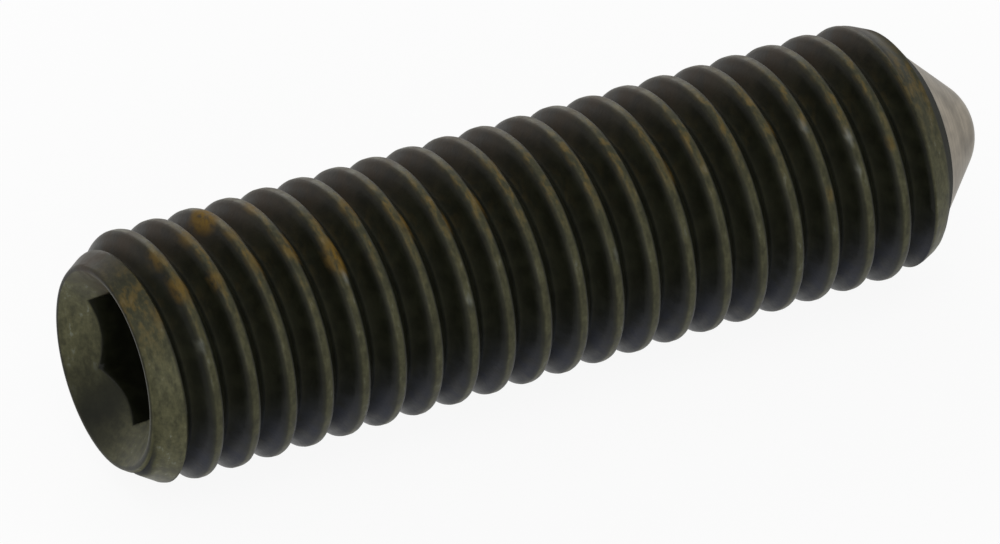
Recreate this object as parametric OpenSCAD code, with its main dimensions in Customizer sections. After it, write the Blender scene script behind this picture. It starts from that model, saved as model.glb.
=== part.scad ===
// Headless hexagon-socket set screw with a cone point, lying on its side.
// The screw's axis runs along X: the socket faces -X and the point faces +X.
// The origin is on the floor, under the middle of the screw. Units are millimetres.

/* [Thread] */
// Major diameter, over the crests
thread_d = 8; // [7:0.5:10]
// Distance between neighbouring crests
pitch = 1.25; // [1:0.25:1.5]
// Distance from the socket end to the first groove, on the screw's +Y side
thread_start = 0.67; // [0:0.01:1.2]
// Flats that make one turn of the thread
thread_sides = 26; // [24:2:32]
// Width of the flat crest
crest_flat = 0.28; // [0.16:0.01:0.32]

/* [Ends] */
// Overall length, from the socket end to the tip of the point
length = 30; // [16:1:35]
// How far the lead-in chamfer goes below the crests at the socket end
lead_depth = 0.8; // [0.5:0.05:1]
// Angle between the lead-in chamfer and the axis
lead_angle = 32; // [25:1:50]
// How far the shoulder at the point end lies below the crests
shoulder_depth = 0.35; // [0.2:0.05:0.6]
// Angle between the taper from the last full crest to the shoulder and the axis
taper_angle = 24; // [15:1:40]
// Angle between the face from the shoulder to the ground cone and the axis
shoulder_angle = 54; // [45:1:65]
// Radius at which the ground cone begins
cone_base_r = 2.9; // [2.5:0.1:3.2]
// Included angle of the ground cone
point_angle = 90; // [80:1:120]
// Radius of the round nose on the ground cone
nose_r = 1.9; // [0.6:0.1:2.2]
// Distance from the tip to where the last groove has run out
runout_end = 3; // [2.5:0.1:5]
// Length of that run-out
runout_length = 0.45; // [0.3:0.05:1]

/* [Socket] */
// Width of the hexagon across its flats
socket_af = 4; // [3:0.5:5]
// Depth of the hexagon from the socket end
socket_depth = 5; // [3:0.5:8]
// Angle that turns the hexagon about the screw's axis
socket_turn = 52; // [0:1:59]
// Included angle of the countersink at the socket's mouth
mouth_angle = 100; // [90:1:120]
// Width of the flat ring left between the countersink and the lead-in chamfer
rim_land = 0.12; // [0.05:0.01:0.3]
// Included angle of the drill point at the socket's bottom
drill_angle = 118; // [110:1:130]

/* [Hidden] */

// Metric thread form: 60 degree flanks, a flat crest and a groove with a round bottom,
// whose radius is a sixth of the height of the sharp triangle.
flank_angle = 30;
crest_r = thread_d / 2;
vee_r = crest_r - (pitch - crest_flat) / 2 / tan(flank_angle);
groove_arc_r = pitch / (2 * tan(flank_angle)) / 6;
root_r = vee_r + groove_arc_r * (1 / sin(flank_angle) - 1);
groove_arc_steps = 3;
function groove_arc_angle(step) = (2 * step / groove_arc_steps - 1) * (90 - flank_angle);

// The thread is made longer than the screw, and the blank cuts it to length.
turns_before = 2;
turns = ceil(length / pitch) + turns_before + 1;
steps = turns * thread_sides;

// The lowest flat lies level on the floor.
first_angle = -90 + 180 / thread_sides;
axis_z = crest_r * cos(180 / thread_sides);

// The blank clears the crests by this much, so that it cuts only at the two ends.
blank_clear = 0.05;
blank_r = crest_r + blank_clear;
rim_r = crest_r - lead_depth;
shoulder_r = crest_r - shoulder_depth;
point_half = point_angle / 2;
nose_x = length - nose_r;
nose_steps = 6;
cone_x = nose_x + nose_r / sin(point_half) - cone_base_r / tan(point_half);
shoulder_x = cone_x - (shoulder_r - cone_base_r) / tan(shoulder_angle);

mouth_r = rim_r - rim_land;
drill_r = 0.97 * socket_af / 2;
overcut = 0.5;
curve_fn = 96;

// One groove as [place along the axis, radius], from crest edge to crest edge
function groove() = concat(
    [[-(pitch - crest_flat) / 2, crest_r]],
    [for (step = [0 : groove_arc_steps])
        [groove_arc_r * sin(groove_arc_angle(step)),
         root_r + groove_arc_r * (1 - cos(groove_arc_angle(step)))]],
    [[(pitch - crest_flat) / 2, crest_r]]);

// The right-hand helix that the middle of the groove follows
function angle_at(step) = first_angle + step * 360 / thread_sides;
function place_at(step) = thread_start + (angle_at(step) / 360 - turns_before) * pitch;

// Share of its full depth that the groove has, which falls to nothing before the shoulder
function depth_at(step) = max(0, min(1, (length - runout_end - place_at(step)) / runout_length));

// A point of the groove, carried along the helix to one step
function on_helix(p, step) =
    let (r = crest_r - (crest_r - p[1]) * depth_at(step))
    [place_at(step) + p[0], r * cos(angle_at(step)), r * sin(angle_at(step))];

// Rod with the thread all along it, closed by a shallow cap at each end
module threaded_rod() {
    form = groove();
    n = len(form);
    wall = [for (step = [0 : steps], p = form) on_helix(p, step)];
    start_cap = [place_at(0) - pitch, 0, 0];
    end_cap = [place_at(steps) + pitch, 0, 0];
    points = concat(wall, [start_cap, end_cap]);
    start = len(wall);
    end = start + 1;
    last = steps - thread_sides;
    function at(step, i) = step * n + i;

    groove_faces = [for (step = [0 : steps - 1], i = [0 : n - 2], half = [0, 1])
        half == 0
            ? [at(step, i), at(step, i + 1), at(step + 1, i)]
            : [at(step, i + 1), at(step + 1, i + 1), at(step + 1, i)]];
    crest_faces = [for (step = [0 : last - 1], half = [0, 1])
        half == 0
            ? [at(step, n - 1), at(step + thread_sides, 0), at(step + 1, n - 1)]
            : [at(step + thread_sides, 0), at(step + 1 + thread_sides, 0), at(step + 1, n - 1)]];
    start_faces = concat(
        [for (step = [0 : thread_sides - 1]) [start, at(step, 0), at(step + 1, 0)]],
        [for (i = [0 : n - 2]) [start, at(0, i + 1), at(0, i)]],
        [[start, at(thread_sides, 0), at(0, n - 1)]]);
    end_faces = concat(
        [for (step = [last : steps - 1]) [end, at(step + 1, n - 1), at(step, n - 1)]],
        [for (i = [0 : n - 2]) [end, at(steps, i), at(steps, i + 1)]],
        [[end, at(last, n - 1), at(steps, 0)]]);
    polyhedron(points, concat(groove_faces, crest_faces, start_faces, end_faces));
}

// Turned outline of the screw: lead-in chamfer, body, taper, shoulder, ground cone and round nose
module blank() {
    nose = [for (i = [0 : nose_steps])
        let (angle = (90 - point_half) * (1 - i / nose_steps))
        [nose_r * sin(angle), nose_x + nose_r * cos(angle)]];
    outline = concat(
        [[0, 0],
         [rim_r, 0],
         [blank_r, (blank_r - rim_r) / tan(lead_angle)],
         [blank_r, shoulder_x - (blank_r - shoulder_r) / tan(taper_angle)],
         [shoulder_r, shoulder_x],
         [cone_base_r, cone_x]],
        nose);
    rotate([0, 90, 0])
        rotate_extrude($fn = curve_fn)
            polygon(outline);
}

// Countersunk hexagon with the drill point of its pilot hole at the bottom
module socket() {
    mouth_slope = tan(mouth_angle / 2);
    mouth_h = mouth_r / mouth_slope;
    hex_r = socket_af / 2 / cos(30);
    rotate([0, 90, 0]) {
        translate([0, 0, -overcut])
            rotate(socket_turn)
                cylinder(r = hex_r, h = socket_depth + overcut, $fn = 6);
        translate([0, 0, -overcut])
            cylinder(r1 = mouth_r + overcut * mouth_slope, r2 = 0, h = mouth_h + overcut, $fn = curve_fn);
        translate([0, 0, socket_depth])
            cylinder(r1 = drill_r, r2 = 0, h = drill_r / tan(drill_angle / 2), $fn = curve_fn);
    }
}

module set_screw() {
    color("#33342e")
        translate([-length / 2, 0, axis_z])
            difference() {
                intersection() {
                    blank();
                    threaded_rod();
                }
                socket();
            }
}

set_screw();
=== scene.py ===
from functools import partial
from math import atan2, cos, exp, hypot, pi, radians, sin, sqrt, tan

import bmesh
import bpy
from mathutils import Matrix, Vector


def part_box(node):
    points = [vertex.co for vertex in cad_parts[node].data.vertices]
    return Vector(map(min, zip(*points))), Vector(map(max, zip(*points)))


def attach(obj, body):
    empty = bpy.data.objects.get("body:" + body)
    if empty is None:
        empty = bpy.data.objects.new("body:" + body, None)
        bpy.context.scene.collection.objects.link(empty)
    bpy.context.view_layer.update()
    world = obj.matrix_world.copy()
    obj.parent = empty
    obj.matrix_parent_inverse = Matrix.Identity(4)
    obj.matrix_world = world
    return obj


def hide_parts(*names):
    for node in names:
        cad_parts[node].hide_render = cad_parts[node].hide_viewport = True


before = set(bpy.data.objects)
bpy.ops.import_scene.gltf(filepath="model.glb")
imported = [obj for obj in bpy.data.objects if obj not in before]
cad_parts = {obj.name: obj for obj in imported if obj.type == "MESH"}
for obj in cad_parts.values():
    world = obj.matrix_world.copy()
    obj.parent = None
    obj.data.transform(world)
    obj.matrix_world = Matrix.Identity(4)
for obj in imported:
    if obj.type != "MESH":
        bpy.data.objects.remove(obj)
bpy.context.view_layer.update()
scene = bpy.context.scene
scene.view_settings.view_transform = "Standard"

MM = 0.001

# Thread, M8 x 1.25. The rolled crests are left wider than the sharpest that the standard allows.
CREST_R = 4.0
PITCH = 1.25
CREST_FLAT = 0.28
CREST_ROUNDING = 0.2
FLANK_SLOPE = sqrt(3)  # two flanks are 60 degrees apart
VEE_R = CREST_R - (PITCH - CREST_FLAT) / 2 * FLANK_SLOPE  # where the two flanks of a groove would meet
ROOT_SOFTNESS = 0.14  # how far a groove's round bottom lies above that
FIRST_GROOVE = 0.67  # from the socket end, on the +Y side

# The socket end
RIM_R = 3.2
RIM_LAND = 0.12
RIM_ROUND = 0.05
LEAD_SLOPE = tan(radians(32))
MOUTH_R = RIM_R - RIM_LAND
MOUTH_SLOPE = tan(radians(50))
SOCKET_AF = 4.0
SOCKET_DEPTH = 5.0
SOCKET_CORNER = radians(-38)  # angle from +Y to one corner of the hexagon
SOCKET_RISE = 0.2  # the punched hexagon sits this much above the screw's axis
DRILL_R = 0.97 * SOCKET_AF / 2  # the pilot hole is a little smaller than the hexagon
DRILL_SLOPE = tan(radians(59))

# The point end: a taper to a shoulder, a steeper black face, and the ground cone with its round nose
LENGTH = 30.0
SHOULDER_R = 3.65
TAPER_SLOPE = tan(radians(24))
FACE_SLOPE = tan(radians(54))
CONE_BASE_R = 2.9
POINT_HALF = radians(45)
NOSE_R = 1.9
NOSE_X = LENGTH - NOSE_R
APEX_X = NOSE_X + NOSE_R / sin(POINT_HALF)
CONE_X = APEX_X - CONE_BASE_R / tan(POINT_HALF)
SHOULDER_X = CONE_X - (SHOULDER_R - CONE_BASE_R) / FACE_SLOPE
GROOVE_END = LENGTH - 3.0
RUNOUT = 0.45  # the last groove gets shallower over this length

# The flats that the CAD rests on are a little inside the round crests.
low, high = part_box("set_screw")
AXIS_Z = (low[2] + high[2]) / 2 / MM
END_X = low[0] / MM

COLUMNS = 120  # flats that make one turn
COLUMN = 2 * pi / COLUMNS
FIRST_COLUMN = SOCKET_CORNER % COLUMN  # so that the socket's corners fall on columns

# Rings of the machined ends
COUNTERSINK_SHARES = (0.03, 0.25, 0.5, 0.75, 0.93, 1.0)  # from the countersink's rim to the hexagon
COUNTERSINK_END = 1.02  # in sizes of the hexagon
SOCKET_EDGE = 0.03  # from the end of the countersink to where the wall of the socket starts
SOCKET_RINGS = (1.15, 2.2, 3.6, SOCKET_DEPTH - 0.1)
SOCKET_BOTTOM = 0.985  # in sizes of the hexagon
DRILL_STEP = 0.02
CONE_RINGS = 12
NOSE_RINGS = 12


def place(x, y, z):
    """A point by its distance from the socket end and its place across the axis, in the CAD frame."""
    return Vector(((END_X + x) * MM, y * MM, (AXIS_Z + z) * MM))


def turned(x, r):
    """A ring of the turned shape."""
    return [
        place(x, r * cos(FIRST_COLUMN + i * COLUMN), r * sin(FIRST_COLUMN + i * COLUMN))
        for i in range(COLUMNS)
    ]


# Wear, from 0 where the black is whole to 1 where it is gone. Angles go from +Y over +Z.
# At the socket end these shares also hold painted light and shade by angle.
DARK_REFLECTION_AT = radians(298)  # on the countersink: the middle of the painted dark reflection
DARK_REFLECTION_REACH = radians(34)
DARK_REFLECTION_SHARE = 0.95
# Painted light: the lead-in, the rim and the taper are painted lighter towards this low front side, over
# their wear.
LIGHTER_SIDE = radians(215)
LOW_SIDE_WEAR_AND_LIGHT = 1.0  # of the lead-in and the taper
HIGH_SIDE_WEAR_AND_SHADE = 0.18
MEAN_WEAR = (LOW_SIDE_WEAR_AND_LIGHT + HIGH_SIDE_WEAR_AND_SHADE) / 2
PAINTED_LIGHT_SWING = (LOW_SIDE_WEAR_AND_LIGHT - HIGH_SIDE_WEAR_AND_SHADE) / 2
CREST_WEAR = 0.7
RIM_SHARE = 0.35  # of the lead-in's wear


def unworn(angle):
    return 0.0


def lead_wear_and_light(angle):
    """How far the lead-in's black has gone at an angle, painted lighter towards the low front as painted
    light from below.
    """
    return MEAN_WEAR + PAINTED_LIGHT_SWING * cos(angle - LIGHTER_SIDE)


def rim_wear_and_light(angle):
    """The rim is worn where the lead-in is, but less, and carries the same painted light from below."""
    return RIM_SHARE * lead_wear_and_light(angle)


def countersink_wear_and_shade(angle):
    """The countersink is worn all round, and one side of it is painted back to black as a painted dark
    reflection.
    """
    off = (angle - DARK_REFLECTION_AT + pi) % (2 * pi) - pi
    return 1 - DARK_REFLECTION_SHARE * exp(-((off / DARK_REFLECTION_REACH) ** 2))


# Machined ends, as rings of points with how far each ring is rubbed bare
def countersink_depth(r):
    return (MOUTH_R - r) / MOUTH_SLOPE


def hexagon(x, size=1.0):
    """The hexagon's outline at one depth, with x None for where it breaks through the countersink."""
    ring = []
    for i in range(COLUMNS):
        angle = FIRST_COLUMN + i * COLUMN
        across = (angle - SOCKET_CORNER) % (pi / 3) - pi / 6
        r = size * SOCKET_AF / 2 / cos(across)
        y, z = r * cos(angle), r * sin(angle) + SOCKET_RISE
        ring.append(place(countersink_depth(hypot(y, z)) if x is None else x, y, z))
    return ring


def countersink(share):
    """A ring on the countersink, this share of the way from its rim to the hexagon."""
    ring = []
    for a, b in zip(turned(0, MOUTH_R), hexagon(None, COUNTERSINK_END)):
        p = a.lerp(b, share)
        r = hypot(p.y, p.z - AXIS_Z * MM) / MM
        p.x = (END_X + countersink_depth(r)) * MM
        ring.append(p)
    return ring


def socket_end():
    """From the lead-in chamfer's edge over the rim, down the countersink and to the bottom of the socket."""
    rim = [
        turned(RIM_ROUND, RIM_R + RIM_ROUND * LEAD_SLOPE),
        turned(0.3 * RIM_ROUND, RIM_R),
        turned(0, RIM_R - 0.6 * RIM_ROUND),
        turned(0, MOUTH_R + 0.4 * RIM_ROUND),
    ]
    rubbed = [countersink(share) for share in COUNTERSINK_SHARES]
    black = [[p + Vector((SOCKET_EDGE * MM, 0, 0)) for p in hexagon(None)]]
    black += [hexagon(x) for x in SOCKET_RINGS]
    black += [hexagon(SOCKET_DEPTH, SOCKET_BOTTOM), turned(SOCKET_DEPTH + DRILL_STEP, DRILL_R)]
    black.append(turned(SOCKET_DEPTH + 0.5 * DRILL_R / DRILL_SLOPE, DRILL_R / 2))
    bottom = place(SOCKET_DEPTH + DRILL_R / DRILL_SLOPE, 0, 0)
    wear = [lead_wear_and_light] + [rim_wear_and_light] * (len(rim) - 1)
    wear += [countersink_wear_and_shade] * len(rubbed) + [unworn] * len(black)
    return list(zip(rim + rubbed + black, wear)), bottom


def point_end():
    """The ground cone, which touches its round nose where their slopes meet."""
    touch_r = NOSE_R * cos(POINT_HALF)
    cone = [CONE_BASE_R + (touch_r - CONE_BASE_R) * i / CONE_RINGS for i in range(CONE_RINGS)]
    rings = [turned(APEX_X - r / tan(POINT_HALF), r) for r in cone]
    for i in range(NOSE_RINGS):
        angle = (pi / 2 - POINT_HALF) * (1 - i / NOSE_RINGS)
        rings.append(turned(NOSE_X + NOSE_R * cos(angle), NOSE_R * sin(angle)))
    return [(ring, unworn) for ring in rings], place(LENGTH, 0, 0)


def machined_ends():
    bm = bmesh.new()
    rubbed = bm.verts.layers.float.new("rubbed")
    for rings, pole in (socket_end(), point_end()):
        rows = []
        for ring, wear in rings:
            rows.append([bm.verts.new(p) for p in ring])
            for i, vert in enumerate(rows[-1]):
                vert[rubbed] = wear(FIRST_COLUMN + i * COLUMN)
        for a, b in zip(rows, rows[1:]):
            for i in range(COLUMNS):
                j = (i + 1) % COLUMNS
                bm.faces.new((a[i], a[j], b[j], b[i]))
        tip = bm.verts.new(pole)
        for i in range(COLUMNS):
            bm.faces.new((rows[-1][i], rows[-1][(i + 1) % COLUMNS], tip))
    mesh = bpy.data.meshes.new("screw")
    bm.to_mesh(mesh)
    bm.free()
    return mesh


MATHS = "ShaderNodeMath"
VECTOR_MATHS = "ShaderNodeVectorMath"
NOISE = "ShaderNodeTexNoise"
RANGE = "ShaderNodeMapRange"
MIX = "ShaderNodeMix"


def add_node(tree, kind, inputs=(), **settings):
    """Adds a node with its settings and its inputs. The inputs are in order, or by number or name. Each is a
    value, another node's output, or another node, which stands for its first output."""
    node = tree.nodes.new(kind)
    for name, value in settings.items():
        setattr(node, name, value)
    for socket, value in inputs.items() if isinstance(inputs, dict) else enumerate(inputs):
        if isinstance(value, bpy.types.Node):
            value = value.outputs[0]
        if isinstance(value, bpy.types.NodeSocket):
            tree.links.new(value, node.inputs[socket])
        else:
            node.inputs[socket].default_value = value
    return node


# Rolled thread
THREAD_SIZES = {
    "Crest radius": CREST_R,
    "Vee radius": VEE_R,
    "Root softness": ROOT_SOFTNESS,
    "Crest rounding": CREST_ROUNDING,
    "Pitch": PITCH,
    "First groove": FIRST_GROOVE,
    "Groove end": GROOVE_END,
    "Run-out": RUNOUT,
    "Rim place": RIM_ROUND,
    "Rim radius": RIM_R,
    "Shoulder place": SHOULDER_X,
    "Shoulder radius": SHOULDER_R,
    "Cone place": CONE_X,
    "Cone radius": CONE_BASE_R,
    "End place": END_X,
    "Axis height": AXIS_Z,
    "Crest unevenness": 0.03,
}
ROWS_PER_TURN = 20
TURNS = 25
TURNS_BEFORE = 2
CLOSER_ROWS = 0.5  # draws rows from the flanks to the crests and the groove bottoms
UNEVEN_SCALE = 1.1  # patches of high and low crest, per millimetre
SHOULDER_ROUND = 0.08
CUT_ROUND = 0.1  # the edges between the thread and the machined cuts
END_NEARNESS = 0.5  # the rounding of an edge is at most this share of the way to the end of the thread
MERGE_REACH = 0.0002

# Where the thread's black is rubbed. The first two are how far the steel stands out of the groove's form.
RUBBED_FROM = 0.02
RUBBED_BARE = 0.13
# Each crest is rubbed more on its -X side, which bears the load and also paints a highlight along that edge.
LOAD_AND_HIGHLIGHT_REACH = 0.12  # across a crest, from its middle
LOAD_AND_HIGHLIGHT_SHARE = 0.08
MACHINED_EDGE = 0.05  # this and the next two are the widths over which one finish turns into another
FACE_EDGE = 0.06
CREST_EDGE = 0.1
GROOVE_REACH = 0.3  # from the middle of a groove to where its dull bottom ends


def thread_tree(finish):
    """Rolls a grid up into the thread, and cuts it by the lead-in chamfer, the taper and the steep face."""
    tree = bpy.data.node_groups.new("rolled_thread", "GeometryNodeTree")
    interface = tree.interface
    interface.new_socket("Ends", in_out="INPUT", socket_type="NodeSocketGeometry")
    for name in THREAD_SIZES:
        interface.new_socket(name, in_out="INPUT", socket_type="NodeSocketFloat")
    interface.new_socket("Screw", in_out="OUTPUT", socket_type="NodeSocketGeometry")
    node = partial(add_node, tree)
    size = node("NodeGroupInput").outputs

    rows = ROWS_PER_TURN * TURNS
    grid = node(
        "GeometryNodeMeshGrid",
        {"Size X": rows, "Size Y": COLUMNS, "Vertices X": rows + 1, "Vertices Y": COLUMNS + 1},
    )
    here = node("ShaderNodeSeparateXYZ", [node("GeometryNodeInputPosition")]).outputs
    angle = node(MATHS, (here["Y"], COLUMN, FIRST_COLUMN + pi), operation="MULTIPLY_ADD")
    sine = node(MATHS, [angle], operation="SINE")
    cosine = node(MATHS, [angle], operation="COSINE")

    # Grooves lie at whole numbers of turns, and crests halfway between.
    even = node(MATHS, (here["X"], 1 / ROWS_PER_TURN, TURNS // 2 + 0.5), operation="MULTIPLY_ADD")
    swing = node(MATHS, (even, 4 * pi), operation="MULTIPLY")
    swing = node(MATHS, [swing], operation="SINE")
    turn = node(MATHS, (swing, -CLOSER_ROWS / (4 * pi), even), operation="MULTIPLY_ADD")
    nearest = node(MATHS, [turn], operation="ROUND")
    off_groove = node(MATHS, (turn, nearest), operation="SUBTRACT")
    off_groove = node(MATHS, (off_groove, size["Pitch"]), operation="MULTIPLY")
    along = node(MATHS, (angle, 1 / (2 * pi), -TURNS_BEFORE), operation="MULTIPLY_ADD")
    along = node(MATHS, (along, turn), operation="ADD")
    free_x = node(MATHS, (along, size["Pitch"], size["First groove"]), operation="MULTIPLY_ADD")
    x = node(MATHS, (free_x, size["Rim place"]), operation="MAXIMUM")
    x = node(MATHS, (x, size["Cone place"]), operation="MINIMUM")

    # The groove: straight flanks that meet in a round bottom, and a run-out at the end
    flank = node(MATHS, (off_groove, FLANK_SLOPE), operation="MULTIPLY")
    root = node(MATHS, (size["Root softness"], 2), operation="POWER")
    rounded = node(MATHS, (flank, flank, root), operation="MULTIPLY_ADD")
    rounded = node(MATHS, [rounded], operation="SQRT")
    full_groove = node(MATHS, (size["Vee radius"], rounded), operation="ADD")
    to_end = node(MATHS, (size["Groove end"], free_x), operation="SUBTRACT")
    to_end = node(MATHS, (to_end, off_groove), operation="ADD")
    depth = node(MATHS, (to_end, size["Run-out"]), operation="DIVIDE", use_clamp=True)
    below_crest = node(MATHS, (size["Crest radius"], full_groove), operation="SUBTRACT")
    below_crest = node(MATHS, (below_crest, depth), operation="MULTIPLY")
    groove = node(MATHS, (size["Crest radius"], below_crest), operation="SUBTRACT")

    # Rolled crests are never quite even.
    around = node("ShaderNodeCombineXYZ", (free_x, sine, cosine))
    around = node(VECTOR_MATHS, (around, (1, CREST_R, CREST_R)), operation="MULTIPLY")
    uneven = node(NOISE, {"Vector": around, "Scale": UNEVEN_SCALE, "Detail": 2.0})
    drop = node(MATHS, (uneven, size["Crest unevenness"]), operation="MULTIPLY")
    crest = node(MATHS, (size["Crest radius"], drop), operation="SUBTRACT")
    thread = node(MATHS, (groove, crest, size["Crest rounding"]), operation="SMOOTH_MIN")

    # The edges that the cuts leave are rounded, apart from where the ends join on.
    lead = node(MATHS, (x, LEAD_SLOPE, size["Rim radius"]), operation="MULTIPLY_ADD")
    to_rim = node(MATHS, (x, size["Rim place"]), operation="SUBTRACT")
    near_rim = node(MATHS, (to_rim, END_NEARNESS), operation="MULTIPLY")
    to_shoulder = node(MATHS, (size["Shoulder place"], x), operation="SUBTRACT")
    taper = node(MATHS, (to_shoulder, TAPER_SLOPE, size["Shoulder radius"]), operation="MULTIPLY_ADD")
    to_cone = node(MATHS, (size["Cone place"], x), operation="SUBTRACT")
    steep_face = node(MATHS, (to_cone, FACE_SLOPE, size["Cone radius"]), operation="MULTIPLY_ADD")
    near_cone = node(MATHS, (to_cone, END_NEARNESS), operation="MULTIPLY")
    shoulder_round = node(MATHS, (near_cone, SHOULDER_ROUND), operation="MINIMUM")
    cut = node(MATHS, (lead, taper), operation="MINIMUM")
    cut = node(MATHS, (cut, steep_face, shoulder_round), operation="SMOOTH_MIN")
    cut_round = node(MATHS, (near_rim, near_cone), operation="MINIMUM")
    cut_round = node(MATHS, (cut_round, CUT_ROUND), operation="MINIMUM")
    r = node(MATHS, (thread, cut, cut_round), operation="SMOOTH_MIN")

    # What stands out is rubbed down to the steel, and so are the cuts. A crest is rubbed more on its -X side,
    # which bears the load, and this also paints a highlight along that edge.
    proud = node(MATHS, (groove, r), operation="SUBTRACT")
    side = node(MATHS, [off_groove], operation="SIGN")
    half_pitch = node(MATHS, (size["Pitch"], 0.5), operation="MULTIPLY")
    crest_place = node(MATHS, (side, half_pitch), operation="MULTIPLY")
    off_crest = node(MATHS, (off_groove, crest_place), operation="SUBTRACT")
    off_crest = node(MATHS, (off_crest, LOAD_AND_HIGHLIGHT_REACH), operation="MINIMUM")
    loaded_and_lit = node(MATHS, (off_crest, -LOAD_AND_HIGHLIGHT_SHARE, proud), operation="MULTIPLY_ADD")
    rubbed = node(RANGE, (loaded_and_lit, RUBBED_FROM, RUBBED_BARE), interpolation_type="SMOOTHSTEP")
    below_thread = node(MATHS, (thread, cut), operation="SUBTRACT")
    machined = node(MATHS, (below_thread, MACHINED_EDGE), operation="DIVIDE", use_clamp=True)
    rubbed = node(MATHS, (rubbed, machined), operation="MAXIMUM")

    # The flanks stay black, and so do the bottoms of the grooves and the steep face, which are dull.
    on_face = node(MATHS, (to_shoulder, -FACE_EDGE), operation="DIVIDE", use_clamp=True)
    off_face = node(MATHS, (1.0, on_face), operation="SUBTRACT")
    rubbed = node(MATHS, (rubbed, off_face), operation="MULTIPLY")
    up_flank = node(MATHS, [off_groove], operation="ABSOLUTE")
    up_flank = node(MATHS, (up_flank, GROOVE_REACH), operation="DIVIDE", use_clamp=True)
    in_groove = node(MATHS, (1.0, up_flank), operation="SUBTRACT")
    dull = node(MATHS, (on_face, in_groove), operation="MAXIMUM")

    # The lead-in and the taper are worn, and painted lighter on the lower side as painted light from below.
    # The crests are worn evenly.
    off_lighter_side = node(MATHS, (angle, LIGHTER_SIDE), operation="SUBTRACT")
    wear_and_light = node(MATHS, [off_lighter_side], operation="COSINE")
    wear_and_light = node(MATHS, (wear_and_light, PAINTED_LIGHT_SWING, MEAN_WEAR), operation="MULTIPLY_ADD")
    above_crest = node(MATHS, (cut, size["Crest radius"]), operation="SUBTRACT")
    on_crest = node(MATHS, (above_crest, CREST_EDGE), operation="DIVIDE", use_clamp=True)
    difference = node(MATHS, (CREST_WEAR, wear_and_light), operation="SUBTRACT")
    share = node(MATHS, (difference, on_crest, wear_and_light), operation="MULTIPLY_ADD")
    rubbed = node(MATHS, (rubbed, share), operation="MULTIPLY")

    spot = {
        "X": node(MATHS, (x, size["End place"]), operation="ADD"),
        "Y": node(MATHS, (r, cosine), operation="MULTIPLY"),
        "Z": node(MATHS, (r, sine, size["Axis height"]), operation="MULTIPLY_ADD"),
    }
    spot = node("ShaderNodeCombineXYZ", spot)
    spot = node(VECTOR_MATHS, {0: spot, "Scale": MM}, operation="SCALE")
    marked = grid
    for name, value in (("rubbed", rubbed), ("dull", dull)):
        inputs = {"Geometry": marked, "Name": name, "Value": value}
        marked = node("GeometryNodeStoreNamedAttribute", inputs, data_type="FLOAT", domain="POINT")
    wall = node("GeometryNodeSetPosition", {"Geometry": marked, "Position": spot})
    both = node("GeometryNodeJoinGeometry")
    for part in (wall.outputs[0], size["Ends"]):
        tree.links.new(part, both.inputs[0])
    whole = node("GeometryNodeMergeByDistance", {"Geometry": both, "Distance": MERGE_REACH * MM})
    real = node("GeometryNodeRealizeInstances", {"Geometry": whole})
    finished = node("GeometryNodeSetMaterial", {"Geometry": real, "Material": finish})
    node("NodeGroupOutput", {"Screw": finished})
    return tree


def made_by(tree, mesh, name, sizes):
    """The plain mesh that a tree makes from a mesh, as an object of its own."""
    start = bpy.data.objects.new(name + "_start", mesh)
    scene.collection.objects.link(start)
    modifier = start.modifiers.new(name, "NODES")
    modifier.node_group = tree
    for item in tree.interface.items_tree:
        if item.in_out == "INPUT" and item.name in sizes:
            modifier[item.identifier] = sizes[item.name]
    bpy.context.view_layer.update()
    made = start.evaluated_get(bpy.context.evaluated_depsgraph_get())
    result = bpy.data.meshes.new_from_object(made)
    start.modifiers.remove(modifier)
    bpy.data.objects.remove(start)
    result.name = name
    piece = bpy.data.objects.new(name, result)
    scene.collection.objects.link(piece)
    return piece


# Finishes
def linear(hex_colour):
    """An sRGB hex colour as linear RGBA."""
    parts = [int(hex_colour[i : i + 2], 16) / 255 for i in (1, 3, 5)]
    return [c / 12.92 if c <= 0.04045 else ((c + 0.055) / 1.055) ** 2.4 for c in parts] + [1.0]


WHITE = linear("#ffffff")


def new_material(name):
    """A material without nodes, and the function that adds them."""
    material = bpy.data.materials.new(name)
    material.use_nodes = True
    material.node_tree.nodes.clear()
    return material, partial(add_node, material.node_tree)


# Sizes of the patterns. The oxide's grain and the marks of the grinding wheel are really a few times finer,
# which would be too fine to show, so they are drawn as coarse as they need to be.
MOTTLE = 0.6
GRAIN = 0.12
GRAIN_HEIGHT = 0.02
STREAK = 0.5
STREAK_SQUEEZE = 2.5  # makes the streaks this much narrower along the screw than round it
CLOUD = 0.8
GRINDING_MARK = 0.06
GRINDING_HEIGHT = 0.01

# What the mesh holds for the finish, as shares from 0 to 1
PAINTED = ("rubbed", "bare_glint", "dull", "painted_cool_reflection", "painted_warm_light", "tint", "rust")


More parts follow.
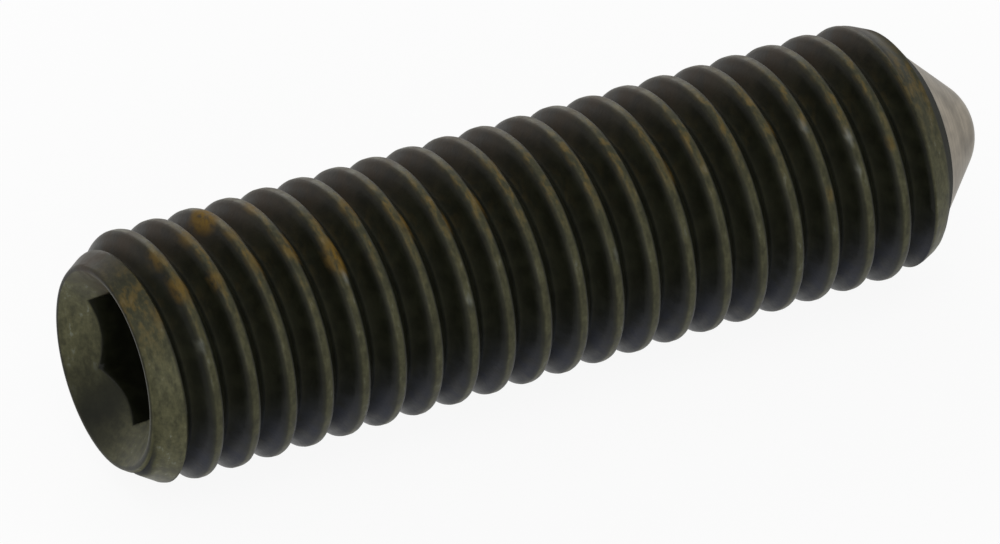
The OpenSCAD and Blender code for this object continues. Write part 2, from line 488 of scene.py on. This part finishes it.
def blackened_steel():
    """Alloy steel, cold-headed and thread-rolled, then black-oxided and oiled: near black in the grooves,
    rubbed to a dull olive grey on the crests and the socket end, with a few rust stains."""
    material, node = new_material("black_oxide_steel")
    spot = node("ShaderNodeTexCoord").outputs["Object"]
    painted = {}
    for name in PAINTED:
        painted[name] = node("ShaderNodeAttribute", attribute_name=name).outputs["Fac"]
    mottle = node(NOISE, {"Vector": spot, "Scale": 1 / (MOTTLE * MM), "Detail": 3.0})
    grain = node(NOISE, {"Vector": spot, "Scale": 1 / (GRAIN * MM), "Detail": 3.0})
    squeezed = node(VECTOR_MATHS, (spot, (STREAK_SQUEEZE, 1.0, 1.0)), operation="MULTIPLY")
    streaks = {"Vector": squeezed, "Scale": 1 / (STREAK * MM), "Detail": 4.0, "Roughness": 0.6}
    streaks = node(NOISE, streaks)

    # The wear runs round the screw in broken streaks, with painted glints on a few worn spots. Where the
    # oxide is left, the lower front is painted bluish, as a painted cool reflection from below.
    broken = node(RANGE, (streaks, 0.3, 0.65, 0.5, 1.05), interpolation_type="SMOOTHSTEP")
    rubbed = node(MATHS, (painted["rubbed"], broken), operation="MULTIPLY")
    rubbed = node(MATHS, (rubbed, painted["bare_glint"]), operation="MAXIMUM")
    unrubbed = node(MATHS, (1.0, rubbed), operation="SUBTRACT")
    paler = node(RANGE, (mottle, 0.35, 0.7), interpolation_type="SMOOTHSTEP")
    clouded = node(RANGE, (mottle, 0.3, 0.65, 0.3, 0.8), interpolation_type="SMOOTHSTEP")
    painted_cool_reflection = node(MATHS, (painted["painted_cool_reflection"], clouded), operation="MULTIPLY")
    painted_cool_reflection = node(MATHS, (painted_cool_reflection, unrubbed), operation="MULTIPLY")
    oxide = linear("#12130b")
    for share, tone in ((paler, "#1d1e14"), (painted_cool_reflection, "#2d303d")):
        oxide = node(MIX, {0: share, 6: oxide, 7: linear(tone)}, data_type="RGBA").outputs[2]
    # Paler streaks of worn steel along the crests, which also paint glints.
    pale_streaks_and_glints = node(RANGE, (streaks, 0.6, 0.72), interpolation_type="SMOOTHSTEP")
    pale_streaks_and_glints = node(MATHS, (pale_streaks_and_glints, painted["rubbed"]), operation="MULTIPLY")
    worn = linear("#41402c")
    # The last coat paints glints on spots of worn steel.
    for share, tone in ((grain, "#66654b"), (pale_streaks_and_glints, "#6f7266"), (painted["bare_glint"], "#9da3a2")):
        worn = node(MIX, {0: share, 6: worn, 7: linear(tone)}, data_type="RGBA").outputs[2]

    # The upper back is painted warm brown, as painted warm light from behind. Rust tints the crests below it
    # and has bled along those near the socket.
    painted_warm_light = node(MATHS, (painted["painted_warm_light"], clouded), operation="MULTIPLY")
    tint = node(RANGE, (streaks, 0.42, 0.62, 0.0, 0.7), interpolation_type="SMOOTHSTEP")
    tint = node(MATHS, (painted["tint"], tint), operation="MULTIPLY")
    tint = node(MATHS, (tint, painted["rubbed"]), operation="MULTIPLY")
    rust = node(MATHS, (painted["rust"], tint), operation="MAXIMUM")
    patches = node(RANGE, (streaks, 0.28, 0.55), interpolation_type="SMOOTHSTEP")
    rust = node(MATHS, (rust, patches), operation="MULTIPLY")
    unrusted = node(MATHS, (1.0, rust), operation="SUBTRACT")
    tones = {0: streaks, 6: linear("#3e3113"), 7: linear("#8c6d28")}
    rusty = node(MIX, tones, data_type="RGBA").outputs[2]
    colour = oxide
    for share, coat in ((rubbed, worn), (painted_warm_light, linear("#3a3026")), (rust, rusty)):
        colour = node(MIX, {0: share, 6: colour, 7: coat}, data_type="RGBA").outputs[2]

    # Steel shows partly through where the black is rubbed. The oil keeps the black smooth, and grain, wear,
    # rust, dull parts and the bands of painted light make it rougher. The sheen of black oxide is weak.
    metallic = node(MATHS, (rubbed, 0.4), operation="MULTIPLY")
    metallic = node(MATHS, (metallic, unrusted), operation="MULTIPLY")
    roughness = 0.26
    rougher = (grain, 0.14), (rubbed, 0.1), (rust, 0.25), (painted["dull"], 0.45), (painted_warm_light, 0.25), (painted_cool_reflection, 0.25)
    for share, more in rougher:
        roughness = node(MATHS, (share, more, roughness), operation="MULTIPLY_ADD")
    bump = {"Height": grain, "Strength": 0.25, "Distance": GRAIN_HEIGHT * MM}
    surface = {
        "Base Color": colour,
        "Metallic": metallic,
        "Roughness": roughness,
        "Specular IOR Level": 0.13,
        "Normal": node("ShaderNodeBump", bump),
    }
    shader = node("ShaderNodeBsdfPrincipled", surface)
    node("ShaderNodeOutputMaterial", {"Surface": shader})
    return material


def ground_steel():
    """The same steel, stripped of its black where the cone was ground after blackening: satin, with fine
    grinding marks round it, and soft grey and tan clouds."""
    material, node = new_material("ground_steel")
    spot = node("ShaderNodeTexCoord").outputs["Object"]
    clouds = node(NOISE, {"Vector": spot, "Scale": 1 / (CLOUD * MM), "Detail": 6.0})
    clouds = node(RANGE, (clouds, 0.25, 0.75))

    along = node("ShaderNodeSeparateXYZ", [spot]).outputs["X"]
    marks = {"W": along, "Scale": 1 / (GRINDING_MARK * MM), "Detail": 2.0}
    marks = node(NOISE, marks, noise_dimensions="1D")
    shaded = node(RANGE, (marks, 0.35, 0.65, 0.0, 0.35))
    colour = linear("#61594a")
    for share, tone in ((clouds, "#998f7e"), (shaded, "#4f4a40")):
        colour = node(MIX, {0: share, 6: colour, 7: linear(tone)}, data_type="RGBA").outputs[2]
    bump = {"Height": marks, "Strength": 0.2, "Distance": GRINDING_HEIGHT * MM}
    surface = {
        "Base Color": colour,
        "Metallic": 1.0,
        "Roughness": 0.42,
        "Normal": node("ShaderNodeBump", bump),
    }
    shader = node("ShaderNodeBsdfPrincipled", surface)
    node("ShaderNodeOutputMaterial", {"Surface": shader})
    return material


# Rust stains, and painted glints on spots of worn steel, each with its distance from the socket end, its
# angle from +Y in degrees, its reach and its strength
STAINS = (
    (0.3, 112, 0.6, 0.8),
    (0.7, 126, 0.6, 0.5),
    (1.55, 100, 0.6, 0.5),
    (1.7, 118, 0.7, 0.7),
    (2.85, 92, 0.6, 0.5),
    (2.9, 120, 0.5, 0.6),
    (3.9, 77, 0.9, 1.1),
    (4.15, 98, 0.5, 0.5),
    (4.3, 117, 0.6, 0.5),
    (5.4, 84, 0.6, 0.6),
    (5.6, 114, 0.7, 0.7),
    (6.85, 124, 0.8, 1.1),
    (6.8, 104, 0.5, 0.5),
    (8.0, 102, 0.6, 0.7),
    (9.4, 118, 0.6, 0.7),
    (10.7, 122, 0.5, 0.6),
    (12.0, 118, 0.6, 0.7),
    (13.2, 100, 0.5, 0.5),
    (18.2, 128, 0.5, 0.5),
    (22.0, 122, 0.4, 0.7),
    (23.1, 158, 0.3, 0.4),
    (25.5, 144, 0.3, 0.5),
)
GLINTS = (
    (0.4, 137, 0.35, 0.6),
    (1.65, 146, 0.3, 0.4),
    (6.85, 134, 0.25, 0.6),
    (10.6, 160, 0.25, 0.3),
    (15.7, 158, 0.25, 0.3),
    (16.3, 176, 0.25, 0.4),
    (22.9, 126, 0.3, 0.5),
    (24.2, 136, 0.3, 0.6),
    (24.2, 151, 0.25, 0.35),
)
# Bands that run the whole length, of rust tint, painted warm light and painted cool reflection: middle, as an
# angle from +Y
BANDS = {"painted_warm_light": radians(68), "tint": radians(112), "painted_cool_reflection": radians(218)}
BAND_REACH = radians(22)


def stains_and_painted_light(bm):
    """Writes how rusty and how tinted each point is, where glints are painted on worn spots, and where the
    bands of painted warm light and painted cool reflection lie. A spot is half as wide across a crest as
    along it.
    """
    for name, spots in (("rust", STAINS), ("bare_glint", GLINTS)):
        layer = bm.verts.layers.float.new(name)
        for x, angle, reach, strength in spots:
            centre = place(x, CREST_R * cos(radians(angle)), CREST_R * sin(radians(angle)))
            for vert in bm.verts:
                off = (vert.co - centre) / (reach * MM)
                off.x *= 2
                vert[layer] = max(vert[layer], strength * (1 - off.length_squared))
    for name, middle in BANDS.items():
        layer = bm.verts.layers.float.new(name)
        for vert in bm.verts:
            off = (atan2(vert.co.z - AXIS_Z * MM, vert.co.y) - middle + pi) % (2 * pi) - pi
            vert[layer] = exp(-((off / BAND_REACH) ** 2))


# Screw
SHARP_ANGLE = radians(40)

blackened = blackened_steel()
ground = ground_steel()
screw = made_by(thread_tree(blackened), machined_ends(), "screw", THREAD_SIZES)
mesh = screw.data
mesh.materials.clear()
mesh.materials.append(blackened)
mesh.materials.append(ground)

bm = bmesh.new()
bm.from_mesh(mesh)
bmesh.ops.recalc_face_normals(bm, faces=bm.faces)
stains_and_painted_light(bm)
for face in bm.faces:
    face.smooth = True
    face.material_index = int(face.calc_center_median().x > (END_X + CONE_X) * MM)
bm.to_mesh(mesh)
bm.free()
mesh.set_sharp_from_angle(angle=SHARP_ANGLE)

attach(screw, "root")
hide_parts("set_screw")


def seen_rays(node):
    """1 for the rays that show the background: to the camera, in a reflection or through glass."""
    rays = node("ShaderNodeLightPath").outputs
    seen = rays["Is Camera Ray"]
    for name in ("Is Glossy Ray", "Is Transmission Ray"):
        seen = node(MATHS, (seen, rays[name]), operation="MAXIMUM")
    return seen


# Floor. Far from the screw its glow hides all shade, and near the screw it leaves a soft shadow.
FLOOR_REACH = 1000
SHADE_START = 15
SHADE_END = 60
GLOW_NEAR = 0.92

floor_z = (AXIS_Z - CREST_R) * MM
edge = FLOOR_REACH * MM
corners = [(-edge, -edge, floor_z), (edge, -edge, floor_z), (edge, edge, floor_z), (-edge, edge, floor_z)]
floor_mesh = bpy.data.meshes.new("floor")
floor_mesh.from_pydata(corners, [], [(0, 1, 2, 3)])
floor = bpy.data.objects.new("floor", floor_mesh)
scene.collection.objects.link(floor)
paper, node = new_material("white_paper")
spot = node("ShaderNodeTexCoord").outputs["Object"]
away = node(VECTOR_MATHS, [spot], operation="LENGTH").outputs["Value"]
glow = node(RANGE, (away, SHADE_START * MM, SHADE_END * MM, GLOW_NEAR, 1.0))
glow = node(MATHS, (seen_rays(node), glow), operation="MULTIPLY")
matt = node("ShaderNodeBsdfDiffuse", {"Color": linear("#f7f7f7")})
white = node("ShaderNodeEmission", {"Color": WHITE, "Strength": 1.0})
both = node("ShaderNodeMixShader", (glow, matt, white))
node("ShaderNodeOutputMaterial", {"Surface": both})
floor_mesh.materials.append(paper)

# Light
SOFT_LIGHT = 0.4
BOX_DISTANCE = 300
BOX_SIZE = 200

world = bpy.data.worlds.new("studio")
scene.world = world
world.use_nodes = True
world.node_tree.nodes.clear()
node = partial(add_node, world.node_tree)
soft = node("ShaderNodeBackground", {"Color": WHITE, "Strength": SOFT_LIGHT})
white = node("ShaderNodeBackground", {"Color": WHITE, "Strength": 1.0})
both = node("ShaderNodeMixShader", (seen_rays(node), soft, white))
node("ShaderNodeOutputWorld", {"Surface": both})


def softbox(name, towards, watts):
    """A square soft light that shines on the screw from one direction, with its power in watts."""
    lamp = bpy.data.lights.new(name, "AREA")
    lamp.shape = "SQUARE"
    lamp.size = BOX_SIZE * MM
    lamp.energy = watts
    box = bpy.data.objects.new(name, lamp)
    way = Vector(towards).normalized()
    turn = way.to_track_quat("Z", "Y").to_matrix().to_4x4()
    box.matrix_world = Matrix.Translation(way * BOX_DISTANCE * MM) @ turn
    scene.collection.objects.link(box)


softbox("key", (-0.4, -0.4, 1.0), 0.16)
softbox("back", (0.2, 1.0, 0.45), 0.3)
softbox("low_front", (-0.5, -1.0, 0.1), 0.25)

# Camera. It stands far off, because the photo is nearly without perspective.
AZIMUTH = radians(-27.98)
ELEVATION = radians(32.59)
CAMERA_DISTANCE = 555.5
PIXELS_PER_MM = 32.63
AIM_RIGHT = -1.218  # from the middle of the screw to the middle of the picture
AIM_UP = -0.850
IMAGE_WIDTH = 1000  # in pixels
SENSOR_WIDTH = 36

back = Vector((sin(AZIMUTH) * cos(ELEVATION), -cos(AZIMUTH) * cos(ELEVATION), sin(ELEVATION)))
right = Vector((cos(AZIMUTH), sin(AZIMUTH), 0))
up = back.cross(right)
aim = Vector((0, 0, AXIS_Z * MM)) + right * AIM_RIGHT * MM + up * AIM_UP * MM
camera_data = bpy.data.cameras.new("camera")
camera_data.sensor_width = SENSOR_WIDTH
camera_data.lens = PIXELS_PER_MM * CAMERA_DISTANCE / IMAGE_WIDTH * SENSOR_WIDTH
camera_data.clip_start = 0.01
camera_data.clip_end = 5.0
camera = bpy.data.objects.new("camera", camera_data)
facing = Matrix((right, up, back)).transposed()
camera.matrix_world = Matrix.Translation(aim + back * CAMERA_DISTANCE * MM) @ facing.to_4x4()
scene.collection.objects.link(camera)
scene.camera = camera
